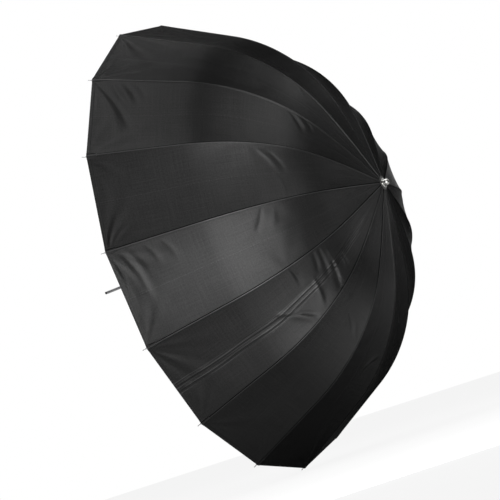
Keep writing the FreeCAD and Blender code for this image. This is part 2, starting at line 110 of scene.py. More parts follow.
def span(tree, value, low, high, out_low, out_high, smooth=False):
    """Carries a value from one range to another, held at its ends."""
    kind = "SMOOTHSTEP" if smooth else "LINEAR"
    made = add_node(tree, "ShaderNodeMapRange", interpolation_type=kind)
    tree.links.new(value, made.inputs[0])
    for place, number in enumerate((low, high, out_low, out_high), start=1):
        made.inputs[place].default_value = number
    return made.outputs[0]


def new_material(name, **settings):
    """A material with its Principled shader. Settings are that shader's own sockets."""
    material = bpy.data.materials.new(name)
    material.use_nodes = True
    tree = material.node_tree
    shader = tree.nodes["Principled BSDF"]
    for word, value in settings.items():
        shader.inputs[word.replace("_", " ")].default_value = value
    return material, tree, shader


def place_group(tree, group, **values):
    """Puts a node group into a material, with its named inputs set."""
    made = add_node(tree, "ShaderNodeGroup", node_tree=group)
    for word, value in values.items():
        made.inputs[word.replace("_", " ")].default_value = value
    return made


def new_group(name, inputs, outputs):
    """A shader node group with those float inputs and outputs."""
    group = bpy.data.node_groups.new(name, "ShaderNodeTree")
    for word, value in inputs.items():
        made = group.interface.new_socket(word, in_out="INPUT", socket_type="NodeSocketFloat")
        made.default_value = value
    for word in outputs:
        group.interface.new_socket(word, in_out="OUTPUT", socket_type="NodeSocketFloat")
    start = group.nodes.new("NodeGroupInput")
    end = group.nodes.new("NodeGroupOutput")
    return group, start, end


# Grain: fine lines along the shaft and soft blotches, for drawn, turned and rolled metal.
metal_grain, grain_in, grain_out = new_group(
    "metal_grain", {"Along": 40.0, "Across": 4000.0, "Blotch": 60.0}, ("Line", "Patch")
)
spot = metal_grain.nodes.new("ShaderNodeTexCoord")
sorted_spot = metal_grain.nodes.new("ShaderNodeSeparateXYZ")
metal_grain.links.new(spot.outputs["Object"], sorted_spot.inputs[0])
stretched = metal_grain.nodes.new("ShaderNodeCombineXYZ")
for axis, wanted in enumerate(("Along", "Across", "Across")):
    scaled = math_node(metal_grain, "MULTIPLY", sorted_spot.outputs[axis], grain_in.outputs[wanted])
    metal_grain.links.new(scaled, stretched.inputs[axis])
lines = add_node(metal_grain, "ShaderNodeTexNoise", in_Scale=1.0, in_Detail=3.0)
metal_grain.links.new(stretched.outputs[0], lines.inputs["Vector"])
metal_grain.links.new(lines.outputs["Fac"], grain_out.inputs["Line"])
patches = add_node(metal_grain, "ShaderNodeTexNoise", in_Detail=4.0, in_Roughness=0.6)
metal_grain.links.new(spot.outputs["Object"], patches.inputs["Vector"])
metal_grain.links.new(grain_in.outputs["Blotch"], patches.inputs["Scale"])
metal_grain.links.new(patches.outputs["Fac"], grain_out.inputs["Patch"])


def metal(name, dark, light, gloss, group_values, **settings):
    """Metal whose colour and gloss follow the grain: dark in its hollows, light on its lines."""
    material, tree, shader = new_material(name, Metallic=1.0, **settings)
    grain = place_group(tree, metal_grain, **group_values)
    wear_and_crease_paint_share = math_node(tree, "MULTIPLY", grain.outputs["Line"], grain.outputs["Patch"])
    share = span(tree, wear_and_crease_paint_share, 0.12, 0.4, 0.0, 1.0)
    tree.links.new(mix_colours(tree, share, dark, light), shader.inputs["Base Color"])
    rough = span(tree, grain.outputs["Patch"], 0.3, 0.7, gloss[0], gloss[1])
    tree.links.new(rough, shader.inputs["Roughness"])
    bump = add_node(tree, "ShaderNodeBump", in_Strength=0.15, in_Distance=0.0002)
    tree.links.new(grain.outputs["Line"], bump.inputs["Height"])
    tree.links.new(bump.outputs["Normal"], shader.inputs["Normal"])
    return material


def dress(material, *names):
    """Gives CAD nodes a material in place of their plain one."""
    for name in names:
        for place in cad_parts[name].material_slots:
            place.material = material


shaft_steel = metal(
    "shaft_steel", (0.34, 0.34, 0.35), (0.55, 0.55, 0.56), (0.28, 0.42), {"Along": 30.0}
)
wire_steel = metal(
    "wire_steel", (0.30, 0.30, 0.31), (0.52, 0.52, 0.52), (0.3, 0.45), {"Along": 900.0}
)
dress(shaft_steel, "shaft")
dress(wire_steel, "runner_stop_pin", "catch_pin", "runner_catch")

# End plug: moulded black plastic with a fine matt skin. Its stem is pushed into the shaft's
# free end, so that the tube's cut edge is covered.


def moulded(name, colour, worn_colour, gloss, skin):
    """Moulded plastic: a fine pebbled skin, with paler rubbed places."""
    material, tree, shader = new_material(name, IOR=1.48)
    spot = add_node(tree, "ShaderNodeTexCoord")
    rub_wear_and_crease_paint = add_node(tree, "ShaderNodeTexNoise", in_Scale=90.0, in_Detail=5.0)
    tree.links.new(spot.outputs["Object"], rub_wear_and_crease_paint.inputs["Vector"])
    share = span(tree, rub_wear_and_crease_paint.outputs["Fac"], 0.5, 0.75, 0.0, 1.0)
    tree.links.new(mix_colours(tree, share, colour, worn_colour), shader.inputs["Base Color"])
    tree.links.new(span(tree, share, 0.0, 1.0, *gloss), shader.inputs["Roughness"])
    pebbles = add_node(tree, "ShaderNodeTexNoise", in_Scale=skin, in_Detail=2.0)
    tree.links.new(spot.outputs["Object"], pebbles.inputs["Vector"])
    bump = add_node(tree, "ShaderNodeBump", in_Strength=0.25, in_Distance=0.0002)
    tree.links.new(pebbles.outputs["Fac"], bump.inputs["Height"])
    tree.links.new(bump.outputs["Normal"], shader.inputs["Normal"])
    return material


plug_plastic = moulded(
    "plug_plastic", (0.02, 0.02, 0.021), (0.05, 0.05, 0.05), (0.5, 0.36), 2500.0
)
dress(plug_plastic, "shaft_end_plug")

# Crown: a die-cast notched head on a short neck, riveted to the shaft. A steel wire in its
# groove goes through the eye of every rib, and is the axle that all sixteen ribs turn on.
cast_metal = metal(
    "cast_metal",
    (0.26, 0.26, 0.27),
    (0.42, 0.42, 0.43),
    (0.38, 0.55),
    {"Along": 700.0, "Across": 700.0, "Blotch": 220.0},
)
dress(cast_metal, "crown")
dress(wire_steel, "crown_tie_wire", "crown_rivet")

# Ribs: sixteen black glass-fibre rods, each with a pressed steel socket at the crown, a steel
# clip for the stretcher and a bright steel tip whose bare pin stands out of the canopy's corner.
ARMS = 16
STEP = 2 * math.pi / ARMS
CROWN_AT = 729.0
PIVOT_CIRCLE = 14.0
LEAN = math.radians(8.0)
CROWN_BEND = (1655.0, math.radians(8.0))
BOWL_BEND = (497.0, math.radians(44.0))
RIB_STRAIGHT = 233.0
CROWN_ARC = CROWN_BEND[0] * CROWN_BEND[1]
BOWL_ARC = BOWL_BEND[0] * BOWL_BEND[1]
ROD_LENGTH = CROWN_ARC + BOWL_ARC + RIB_STRAIGHT
CLIP_AT = CROWN_ARC + BOWL_BEND[0] * math.radians(25.0)


def meridian(along):
    """Place of a rib's centreline in its own plane, in mm, and its lean from square.

    The line leaves the crown leaning 8 degrees towards the mouth, turns 8 degrees on a
    1655 mm arc, 44 degrees on a 497 mm arc, and ends straight for 233 mm.
    """
    first = np.clip(along, 0.0, CROWN_ARC) / CROWN_BEND[0]
    second = np.clip(along - CROWN_ARC, 0.0, BOWL_ARC) / BOWL_BEND[0]
    past = np.maximum(along - CROWN_ARC - BOWL_ARC, 0.0)
    before = np.minimum(along, 0.0)
    middle_lean = LEAN + first
    lean = middle_lean + second
    x = CROWN_AT + CROWN_BEND[0] * (np.cos(middle_lean) - math.cos(LEAN))
    x = x + BOWL_BEND[0] * (np.cos(lean) - np.cos(middle_lean)) - past * np.sin(lean)
    r = PIVOT_CIRCLE + CROWN_BEND[0] * (np.sin(middle_lean) - math.sin(LEAN))
    r = r + BOWL_BEND[0] * (np.sin(lean) - np.sin(middle_lean)) + past * np.cos(lean)
    return x - before * math.sin(LEAN), r + before * math.cos(LEAN), lean


def place_on_shaft(tree):
    """Sockets with a point's place along the shaft and its distance from the shaft's axis."""
    spot = add_node(tree, "ShaderNodeTexCoord")
    sorted_spot = add_node(tree, "ShaderNodeSeparateXYZ")
    tree.links.new(spot.outputs["Object"], sorted_spot.inputs[0])
    along, *beside = sorted_spot.outputs
    squares = [math_node(tree, "POWER", socket, 2.0) for socket in beside]
    return along, math_node(tree, "SQRT", math_node(tree, "ADD", *squares))


# The rods are black, and bare metal shows between these places along them: the socket, the
# clip and the tip.
rib_rod, tree, shader = new_material("rib_rod", IOR=1.5)
radius = place_on_shaft(tree)[1]
metal_zones = None
for start, end in ((-3.0, 30.0), (CLIP_AT - 6.0, CLIP_AT + 6.0), (ROD_LENGTH - 12.0, 2000.0)):
    low, high = (float(meridian(np.array(edge))[1]) / 1000.0 for edge in (start, end))
    above = math_node(tree, "GREATER_THAN", radius, low)
    below = math_node(tree, "LESS_THAN", radius, high)
    zone = math_node(tree, "MULTIPLY", above, below)
    metal_zones = zone if metal_zones is None else math_node(tree, "MAXIMUM", metal_zones, zone)
grain = place_group(tree, metal_grain, Along=500.0, Across=500.0, Blotch=150.0)
streak = span(tree, grain.outputs["Line"], 0.3, 0.7, 0.0, 1.0)
rod_colour = mix_colours(tree, streak, (0.012, 0.012, 0.013), (0.03, 0.03, 0.031))
bright = mix_colours(tree, streak, (0.42, 0.42, 0.43), (0.62, 0.62, 0.62))
tree.links.new(mix_colours(tree, metal_zones, rod_colour, bright), shader.inputs["Base Color"])
tree.links.new(metal_zones, shader.inputs["Metallic"])
rough = span(tree, grain.outputs["Patch"], 0.3, 0.7, 0.22, 0.4)
tree.links.new(rough, shader.inputs["Roughness"])
dress(rib_rod, *(f"rib_{arm + 1:02d}" for arm in range(ARMS)))

# Stretchers: pressed steel channels, plated dull grey. Each is hooked on the runner's wire
# at one end and held by a rivet through its fork and the rib's clip at the other.
stretcher_steel = metal(
    "stretcher_steel",
    (0.33, 0.33, 0.34),
    (0.52, 0.52, 0.53),
    (0.3, 0.48),
    {"Along": 260.0, "Across": 1400.0, "Blotch": 45.0},
)
dress(stretcher_steel, *(f"stretcher_{arm + 1:02d}" for arm in range(ARMS)))

# Runner: a moulded black head and sleeve that slides on the shaft, notched like the crown,
# with its own wire. The sprung catch behind its lip holds the umbrella open.
runner_plastic = moulded(
    "runner_plastic", (0.022, 0.022, 0.023), (0.055, 0.055, 0.055), (0.45, 0.32), 1800.0
)
dress(runner_plastic, "runner")
dress(wire_steel, "runner_tie_wire")

# Canopy: sixteen gores of black-faced nylon with a silver-coated inside, sewn edge to edge
# over the ribs. Every gore is worked in two halves, each on the rib that its seam rides on,
# so that the cloth closes up between the ribs as they fold.
HALF_STEP = STEP / 2
CLOTH_THICKNESS = 0.5
CLOTH_ABOVE_RIB = 3.0
HEM = 9.0
SEAM_GAP = 0.2
LAP = 3.3
LAP_LENGTH = 180.0
LAP_DEPTH = 0.9
SAG_SHARE = 0.1
CREASED_GORE = 5
RNG = np.random.default_rng(16)
RIPPLES = [
    [
        (RNG.uniform(0, 2 * math.pi), RNG.uniform(0, math.pi), RNG.uniform(60.0, 170.0))
        for _ in range(7)
    ]
    for _ in range(ARMS)
]


def gore_half(along):
    """Half a gore's width at that distance down the rib, in mm."""
    return (meridian(along)[1] + CLOTH_ABOVE_RIB) * math.sin(HALF_STEP)


def ripples(gore, along, across):
    """Long soft waves in the cloth: a sum of seven plane waves, other ones for each gore."""
    total = np.zeros(np.broadcast(along, across).shape)
    for phase, turn, length in RIPPLES[gore]:
        run = along * math.cos(turn) + across * math.sin(turn)
        total = total + 0.00045 * length * np.sin(2 * math.pi * run / length + phase)
    return total


def corner_folds(gore, along, across, half):
    """Pull lines that fan out of the two rim corners: a wave round each corner, strongest a
    hand's breadth away from it and gone towards the middle of the panel."""
    total = 0.0
    for side in (-1, 1):
        from_rim = ROD_LENGTH - along
        from_seam = np.maximum(half - side * across, 0.0)
        away = np.hypot(from_rim, from_seam) + 1e-6
        angle = np.arctan2(from_seam, from_rim)
        swell = (away / 55.0) * np.exp(1.0 - away / 55.0)
        waves = np.sin(11.0 * angle + 1.7 * gore + side) + 0.6 * np.sin(18.0 * angle + 2.9 * gore)
        total = total + (0.32 + 0.16 * math.sin(5.0 * gore + 2.0 * side)) * swell * waves
    return total


def clip_folds(gore, along, across, half):
    """Slanting folds that start at the seams beside the stretcher clips."""
    total = 0.0
    for side in (-1, 1):
        past = along - CLIP_AT
        from_seam = np.maximum(half - side * across, 0.0)
        away = np.hypot(past * 0.5, from_seam) + 1e-6
        angle = np.arctan2(past, from_seam + 12.0)
        swell = (away / 38.0) * np.exp(1.0 - away / 38.0)
        strength = 0.12 + 0.2 * math.sin(2.3 * gore + side) ** 2
        total = total + strength * swell * np.sin(7.0 * angle + 0.9 * gore)
    return total


# Folds of single gores, by the gore's number: mm from the crown and share of the half width
# where each starts and where it ends (1 is the gore's own rib), its height and its width.
FOLDS = {
    2: [(340, 0.95, 300, 0.55, 0.6, 6), (830, -0.9, 800, -0.4, 0.6, 5)],
    3: [
        (843, 0.97, 735, -0.5, -0.9, 7),
        (843, 0.9, 762, -0.65, 0.6, 9),
        (808, 0.95, 752, 0.2, -0.55, 7),
        (786, 0.95, 740, 0.3, 0.5, 7),
        (766, 0.95, 722, 0.3, -0.5, 6),
        (738, 0.95, 705, 0.5, -0.35, 5),
        (330, 0.95, 280, 0.15, -0.7, 6),
        (318, 0.95, 268, 0.4, 0.6, 5),
        (282, 0.95, 250, 0.4, -0.6, 5),
    ],
    4: [
        (835, 0.9, 782, 0.9, 0.5, 4),
        (836, 0.83, 787, 0.7, 0.5, 4),
        (833, -0.93, 794, -0.25, 0.8, 6),
        (826, -0.95, 779, -0.55, 0.5, 5),
        (423, 0.83, 369, 0.0, 0.6, 6),
        (391, 0.75, 352, 0.0, -0.6, 6),
        (387, 0.0, 363, -0.94, 0.4, 7),
    ],
    5: [
        (813, 0.9, 783, -0.3, 0.45, 7),
        (838, 0.8, 828, 0.1, 0.3, 6),
        (797, 0.9, 770, 0.1, -0.4, 7),
        (750, 0.9, 729, 0.4, 0.35, 7),
        (708, 0.9, 686, 0.35, 0.3, 7),
        (446, 0.95, 493, 0.2, -0.8, 6),
        (417, 0.8, 443, 0.15, 0.4, 8),
    ],
    6: [
        (344, 0.9, 360, -0.3, -1.2, 7),
        (443, 0.95, 436, 0.2, -1.3, 6),
        (364, 0.95, 378, 0.1, -1.0, 7),
        (320, 0.6, 330, -0.5, 0.8, 8),
        (325, 0.1, 357, -0.95, -1.3, 7),
        (290, 0.1, 297, -0.8, 0.8, 7),
        (535, 0.0, 459, -0.9, 1.5, 9),
        (520, -0.2, 440, -0.9, -1.1, 6),
        (400, 0.1, 425, -0.9, 0.9, 7),
    ],
    7: [
        (384, 0.0, 416, -0.6, -0.8, 5),
        (371, 0.55, 341, 0.25, 0.6, 6),
        (429, -0.9, 390, -0.5, 0.6, 5),
    ],
    8: [(494, -0.3, 451, -0.8, 1.0, 6), (500, -0.35, 460, -0.8, -0.6, 5)],
}
OWN_HEIGHT = 2.0
BORROWED_HEIGHT = 1.4


def single_folds(gore, along, across):
    """Nearly straight folds in one gore: each is a rounded ridge, or a hollow where its
    height is negative, that rises quickly, widens and dies away along its length. A gore
    without folds of its own takes those of another one, turned over and lower."""
    number = gore + 1
    flip = 1.0 if number in FOLDS else -1.0
    folds = FOLDS.get(number) or FOLDS[3 + (number * 5) % 4]
    total = np.zeros(np.broadcast(along, across).shape)
    for start, start_share, end, end_share, height, width in folds:
        ends = np.array([start, end], dtype=float)
        halves = gore_half(ends)
        first, last = flip * halves * (start_share, end_share)
        run = np.array([end - start, last - first])
        length = np.hypot(*run)
        ahead = ((along - start) * run[0] + (across - first) * run[1]) / length
        aside = ((along - start) * run[1] - (across - first) * run[0]) / length
        aside = aside - 0.06 * length * np.sin(math.pi * np.clip(ahead / length, 0.0, 1.0))
        gone = np.clip(ahead / length, -0.12, 1.12)
        rise = np.clip((gone + 0.12) / 0.24, 0.0, 1.0) * np.clip((1.12 - gone) / 0.7, 0.0, 1.0)
        rise = rise * rise * (3.0 - 2.0 * rise)
        fan = 0.65 + 0.8 * np.clip(gone, 0.0, 1.0)
        height = (OWN_HEIGHT if flip > 0 else BORROWED_HEIGHT) * height
        total = total + height * fan * rise * np.exp(-((aside / (fan * width)) ** 2))
    return total


# Long creases of the gore that was folded: mm from its middle line, height and width in mm.
LONG_CREASES = (
    (4.0, -0.3, 2.0),
    (-3.0, 0.55, 2.2),
    (-11.0, -0.55, 2.4),
    (-18.0, 0.6, 2.4),
    (-26.0, -0.4, 3.0),
)


def long_creases(gore, along, across):
    """Thin creases side by side from the rim to near the crown in the creased gore, and one
    faint crease along the middle line of two in three of the others."""
    middle = across + 3.0 * np.sin(along / 70.0 + gore)
    if gore != CREASED_GORE:
        return (0.0 if gore % 3 == 0 else 0.16) * np.exp(-((middle / 2.2) ** 2))
    fade = np.clip((along - 120.0) / 120.0, 0.0, 1.0)
    wander = 4.0 * np.sin(along / 130.0) + 1.2 * np.sin(along / 31.0)
    total = 0.0
    for place, height, width in LONG_CREASES:
        squeeze = place * (0.55 + 0.5 * along / ROD_LENGTH)
        away = (across - squeeze - wander) / width
        total = total + height * np.exp(-(away**2))
    near_rib = np.exp(-(((across - 96.0) / 2.0) ** 2)) * np.clip((along - 440.0) / 60.0, 0.0, 1.0)
    return fade * (total + 0.3 * near_rib)


def cloth_points(arm, side, along, share, lift):
    """Points of one half gore, in metres.

    along runs down the rib in mm, and share from 0 at the seam to 1 on the gore's middle
    line. Across the gore the cloth is a shallow parabola between the two ribs, hollow
    towards the inside of the bowl, and lift raises it square to the rib, outwards. side is
    -1 for the half towards the next arm and 1 for the half towards the one before. Folds
    are held down at the rim, at the crown and along the seams, single ones least.
    """
    x, r, lean = meridian(along)
    fade = np.exp(-((along / 45.0) ** 2))
    rise = CLOTH_ABOVE_RIB + 2.8 * fade
    edge_x = x + rise * np.cos(lean)
    edge_r = r + rise * np.sin(lean)
    half = edge_r * math.sin(HALF_STEP) - SEAM_GAP
    run = np.clip(along, 0.0, ROD_LENGTH) / ROD_LENGTH
    sag = SAG_SHARE * half * np.sin(math.pi * run)
    across = -side * (1.0 - share) * half
    out_x = np.cos(lean) * math.cos(HALF_STEP)
    out_z = np.sin(lean)
    size = np.hypot(out_x, out_z)
    out_x, out_z = out_x / size, out_z / size
    gore = arm if side < 0 else (arm - 1) % ARMS
    held = np.clip((ROD_LENGTH - along) / 30.0, 0.0, 1.0) * np.clip(along / 120.0, 0.0, 1.0)
    held = held * (1.0 - (np.abs(across) / half) ** 6)
    pinned = np.clip((ROD_LENGTH - along) / 16.0, 0.0, 1.0) * (1.0 - (np.abs(across) / half) ** 9)
    folds = ripples(gore, along, across) * held
    folds = folds + corner_folds(gore, along, across, half) * held
    folds = folds + clip_folds(gore, along, across, half) * held
    folds = folds + long_creases(gore, along, across) * held
    folds = folds + single_folds(gore, along, across) * pinned
    drop = sag * (1.0 - (across / half) ** 2) - folds - lift
    spot_x = edge_x - drop * out_x
    spot_z = edge_r * math.cos(HALF_STEP) - drop * out_z
    turn = (gore + 0.5) * STEP
    spots = np.stack(
        [
            spot_x,
            across * math.cos(turn) - spot_z * math.sin(turn),
            across * math.sin(turn) + spot_z * math.cos(turn),
        ],
        axis=-1,
    )
    return spots / 1000.0, across / 1000.0


def grid_faces(rows, columns, first=0, flip=False):
    """Index rows of the quads of a grid of points, counted row by row."""
    row, column = np.meshgrid(np.arange(rows - 1), np.arange(columns - 1), indexing="ij")
    corner = (first + row * columns + column).ravel()
    quads = np.stack([corner, corner + 1, corner + columns + 1, corner + columns], axis=1)
    return quads[:, ::-1] if flip else quads


def add_mesh(name, points, faces, uv=None, zones=None, smooth=True, rim=None):
    """A mesh object at the origin. uv holds a pair for each point, zones a slot for each
    face, and rim the points between which every edge is sharp."""
    mesh = bpy.data.meshes.new(name)
    mesh.from_pydata(points.reshape(-1, 3).tolist(), [], faces.tolist())
    if uv is not None:
        layer = mesh.uv_layers.new(name="cut")
        corners = np.empty(len(mesh.loops), dtype=np.int32)
        mesh.loops.foreach_get("vertex_index", corners)
        layer.data.foreach_set("uv", uv.reshape(-1, 2)[corners].ravel())
    if zones is not None:
        mesh.polygons.foreach_set("material_index", zones.astype(np.int32))
    mesh.polygons.foreach_set("use_smooth", np.full(len(mesh.polygons), smooth))
    if rim is not None:
        pairs = np.empty(len(mesh.edges) * 2, dtype=np.int32)
        mesh.edges.foreach_get("vertices", pairs)
        on_rim = np.zeros(len(mesh.vertices), dtype=bool)
        on_rim[rim] = True
        mesh.edges.foreach_set("use_edge_sharp", on_rim[pairs].reshape(-1, 2).all(axis=1))
    mesh.update()
    made = bpy.data.objects.new(name, mesh)
    scene.collection.objects.link(made)
    return made


def shell(outer, inner, uv, name, flip, crease=None):
    """Two grids of points, face to face, joined round their four edges into a closed sheet.
    crease is a column along which the sheet is bent sharply."""
    rows, columns = outer.shape[:2]
    count = rows * columns
    index = np.arange(count).reshape(rows, columns)
    edge = np.concatenate([index[0, :-1], index[:-1, -1], index[-1, :0:-1], index[:0:-1, 0]])
    following = np.roll(edge, -1)
    sides = np.stack([edge, edge + count, following + count, following], axis=1)
    if flip:
        sides = sides[:, ::-1]
    faces = np.concatenate(
        [grid_faces(rows, columns, 0, flip), grid_faces(rows, columns, count, not flip), sides]
    )
    zones = np.zeros(len(faces))
    size = (rows - 1) * (columns - 1)
    zones[size : 2 * size] = 1
    points = np.concatenate([outer.reshape(-1, 3), inner.reshape(-1, 3)])
    uv = np.concatenate([uv.reshape(-1, 2)] * 2)
    sharp = [edge, edge + count]
    if crease is not None:
        sharp += [index[1:-1, crease], index[1:-1, crease] + count]
    return add_mesh(name, points, faces, uv, zones, rim=np.concatenate(sharp))


# Weave: crossing threads on the cloth's own cut map, with uneven threads and a soft mottle.
cloth_weave, weave_in, weave_out = new_group(
    "cloth_weave", {"Threads": 900.0, "Slub": 40.0}, ("Height", "Mottle", "Streak")
)
cut = add_node(cloth_weave, "ShaderNodeUVMap", uv_map="cut")
waves = []
for direction in ("X", "Y"):
    wave = add_node(cloth_weave, "ShaderNodeTexWave", bands_direction=direction, in_Distortion=1.2)
    wave.inputs["Detail Scale"].default_value = 0.6
    cloth_weave.links.new(cut.outputs[0], wave.inputs["Vector"])
    cloth_weave.links.new(weave_in.outputs["Threads"], wave.inputs["Scale"])
    waves.append(wave.outputs["Fac"])
crossed = math_node(cloth_weave, "MULTIPLY", *waves)
mottle = add_node(cloth_weave, "ShaderNodeTexNoise", in_Detail=6.0, in_Roughness=0.65)
cloth_weave.links.new(cut.outputs[0], mottle.inputs["Vector"])
cloth_weave.links.new(weave_in.outputs["Slub"], mottle.inputs["Scale"])
streaks = []
for stretch in ((520.0, 9.0, 0.0), (9.0, 520.0, 0.0)):
    drawn = add_node(cloth_weave, "ShaderNodeVectorMath", operation="MULTIPLY")
    drawn.inputs[1].default_value = stretch
    cloth_weave.links.new(cut.outputs[0], drawn.inputs[0])
    streak = add_node(cloth_weave, "ShaderNodeTexNoise", in_Scale=1.0, in_Detail=3.0)
    cloth_weave.links.new(drawn.outputs[0], streak.inputs["Vector"])
    streaks.append(streak.outputs["Fac"])
both_ways = math_node(cloth_weave, "MULTIPLY", math_node(cloth_weave, "ADD", *streaks), 0.5)
cloth_weave.links.new(both_ways, weave_out.inputs["Streak"])
cloth_weave.links.new(crossed, weave_out.inputs["Height"])
cloth_weave.links.new(mottle.outputs["Fac"], weave_out.inputs["Mottle"])

# Black face: a satin whose threads spread the light across the panel, so that its sheen lies
# in bands from seam to seam. Bands of doubled cloth have a lighter line along their ridge, a
# painted highlight, beside a dark line of painted shade.


def thin_line(tree, value, place, half_width):
    """1 where the value is at that place, and 0 beyond the half width."""
    aside = math_node(tree, "ABSOLUTE", math_node(tree, "SUBTRACT", value, place))
    return span(tree, aside, 0.4 * half_width, half_width, 1.0, 0.0, smooth=True)


def black_satin(name, shade_line_at=None, creases=()):
    """The black cloth. The second argument is where a dark line of painted shade lies beside a
    seam's ridge, in m, and negative towards the arm before; the ridge itself gets a painted
    highlight.
    creases are the places of creases beside the middle line, in mm, painted as lighter and darker
    lines by turns: painted highlights and painted shade. Without the shade line, the cloth has a
    hem line and a faint lighter middle line, which is a painted highlight."""
    material, tree, shader = new_material(
        name,
        Metallic=0.85,
        Specular_IOR_Level=0.0,
        Specular_Tint=(0.1, 0.1, 0.1, 1.0),
        Anisotropic=0.9,
    )
    weave = place_group(tree, cloth_weave, Threads=700.0, Slub=260.0)
    uneven = math_node(tree, "ADD", weave.outputs["Mottle"], weave.outputs["Streak"])
    share = span(tree, uneven, 0.72, 1.28, 0.0, 1.0)
    black = mix_colours(tree, share, (0.0195, 0.0195, 0.0197), (0.0355, 0.0355, 0.0352))
    height = math_node(tree, "ADD", weave.outputs["Height"], weave.outputs["Streak"])
    cut = add_node(tree, "ShaderNodeUVMap", uv_map="cut")
    place = add_node(tree, "ShaderNodeSeparateXYZ")
    tree.links.new(cut.outputs[0], place.inputs[0])
    beside, down = place.outputs[0], place.outputs[1]
    if shade_line_at is None:
        hem = thin_line(tree, down, (ROD_LENGTH - HEM) / 1000, 0.0007)
        black = mix_colours(tree, hem, black, (0.013, 0.013, 0.013))
        # A faint lighter line down the gore's middle, gated by the mottle: a painted highlight
        # along the middle fold.
        middle = thin_line(tree, beside, 0.0006, 0.0011)
        middle = math_node(tree, "MULTIPLY", middle, span(tree, uneven, 0.9, 1.2, 0.0, 0.3))
        black = mix_colours(tree, middle, black, (0.08, 0.08, 0.08))
    else:
        # A lighter line along the band's middle is a painted highlight on its ridge, and the dark
        # line beside it is painted shade.
        painted_ridge_highlight = thin_line(tree, beside, 0.0, 0.0012)
        black = mix_colours(tree, painted_ridge_highlight, black, (0.047, 0.047, 0.047))
        painted_groove_shade = thin_line(tree, beside, shade_line_at, 0.0014)
        black = mix_colours(tree, painted_groove_shade, black, (0.004, 0.004, 0.004))
    if creases:
        slow = math_node(tree, "SINE", math_node(tree, "DIVIDE", down, 0.13))
        quick = math_node(tree, "SINE", math_node(tree, "DIVIDE", down, 0.031))
        wander = math_node(tree, "MULTIPLY", slow, 0.004)
        wander = math_node(tree, "ADD", wander, math_node(tree, "MULTIPLY", quick, 0.0012))
        straight = math_node(tree, "SUBTRACT", beside, wander)
        spread = math_node(tree, "MULTIPLY_ADD", down, 500.0 / ROD_LENGTH)
        spread.node.inputs[2].default_value = 0.55
        straight = math_node(tree, "DIVIDE", straight, spread)
        for number, crease in enumerate(creases):
            # Each crease is painted as a line, lighter and darker by turns: painted highlights and
            # painted shade along the creases, stronger and weaker along their length.
            rub_wear_and_crease_paint = thin_line(tree, straight, crease / 1000, 0.0014)
            phase = math_node(tree, "MULTIPLY_ADD", down, 17.0 + 3.0 * number)
            phase.node.inputs[2].default_value = 2.1 * number
            wear_and_crease_paint_share = span(tree, math_node(tree, "SINE", phase), -1.0, 1.0, 0.05, 0.6)
            wear_and_crease_paint_share = math_node(tree, "MULTIPLY", wear_and_crease_paint_share, span(tree, down, 0.1, 0.2, 0.0, 1.0))
            rub_wear_and_crease_paint = math_node(tree, "MULTIPLY", rub_wear_and_crease_paint, wear_and_crease_paint_share)
            colour = (0.007, 0.007, 0.007) if number % 2 else (0.08, 0.08, 0.08)
            black = mix_colours(tree, rub_wear_and_crease_paint, black, colour)
    tree.links.new(black, shader.inputs["Base Color"])
    tree.links.new(span(tree, share, 0.0, 1.0, 0.35, 0.38), shader.inputs["Roughness"])
    across = add_node(tree, "ShaderNodeTangent", direction_type="UV_MAP", uv_map="cut")
    tree.links.new(across.outputs[0], shader.inputs["Tangent"])
    bump = add_node(tree, "ShaderNodeBump", in_Strength=0.13, in_Distance=0.0004)
    tree.links.new(height, bump.inputs["Height"])
    tree.links.new(bump.outputs["Normal"], shader.inputs["Normal"])
    return material


black_cloth = black_satin("black_cloth")
creased_cloth = black_satin(
    "creased_cloth", creases=(5.0, 3.4, -2.0, -5.0, -10.0, -12.5, -17.0, -19.0, -26.0)
)
silver_cloth, tree, shader = new_material("silver_cloth", Metallic=0.9)
weave = place_group(tree, cloth_weave, Threads=700.0, Slub=60.0)
share = span(tree, weave.outputs["Mottle"], 0.3, 0.7, 0.0, 1.0)
silver = mix_colours(tree, share, (0.62, 0.62, 0.63), (0.74, 0.74, 0.75))
tree.links.new(silver, shader.inputs["Base Color"])
tree.links.new(span(tree, share, 0.0, 1.0, 0.42, 0.34), shader.inputs["Roughness"])
bump = add_node(tree, "ShaderNodeBump", in_Strength=0.35, in_Distance=0.0004)
tree.links.new(weave.outputs["Height"], bump.inputs["Height"])
tree.links.new(bump.outputs["Normal"], shader.inputs["Normal"])

# Rows of points down a gore, in mm from the crown's pivots, closer together at the hem.
ALONG = np.concatenate(
    [np.linspace(-4.0, 826.0, 240), np.linspace(828.0, ROD_LENGTH - 0.4, 12)]
)


